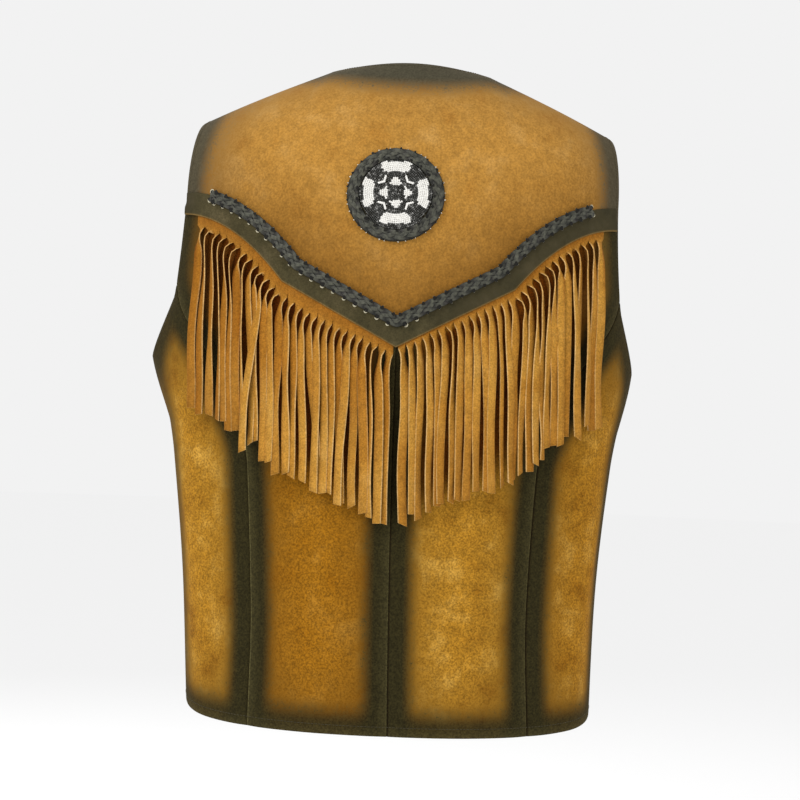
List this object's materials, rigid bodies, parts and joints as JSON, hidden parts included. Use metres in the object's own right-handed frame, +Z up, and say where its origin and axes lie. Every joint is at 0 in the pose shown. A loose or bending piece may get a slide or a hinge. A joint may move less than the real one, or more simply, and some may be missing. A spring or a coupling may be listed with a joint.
{
  "type": "fringed vest",
  "caption": "Hollow sleeveless suede vest, filled out as worn, with a pointed back yoke, laced band, cut fringe and a round beaded rosette.",
  "frame": {"origin": "between the wearer's shoulders, at half the height of the sloping shoulder seams", "axes": "+Z up the wearer's body, -Y out of the wearer's chest, +Y out of the fringed back, +X to the wearer's left"},
  "size_m": [0.483, 0.2641, 0.6529],
  "materials": {
    "body_suede": "tan suede, fine nap, dark-brushed along seams and edges",
    "yoke_suede": "lighter tan suede, fine nap",
    "fringe_suede": "light tan suede cut in strands, pale cut edges",
    "dark_suede": "dark olive-brown suede",
    "laced_leather": "smooth slate-grey thong, plaited and laced",
    "bead_glass": "small opaque glass beads, black and white"
  },
  "bodies": {
    "root": {"back_yoke": "yoke_suede", "yoke_band": "dark_suede", "yoke_lacing": "laced_leather", "fringe_left": "fringe_suede", "fringe_right": "fringe_suede", "rosette_backing": "dark_suede", "rosette_rim": "laced_leather", "rosette_beads": "bead_glass", "back_centre_left": "body_suede", "back_centre_right": "body_suede", "back_side_left": "body_suede", "back_side_right": "body_suede", "front_left": "body_suede", "front_right": "body_suede"}
  },
  "joints": []
}
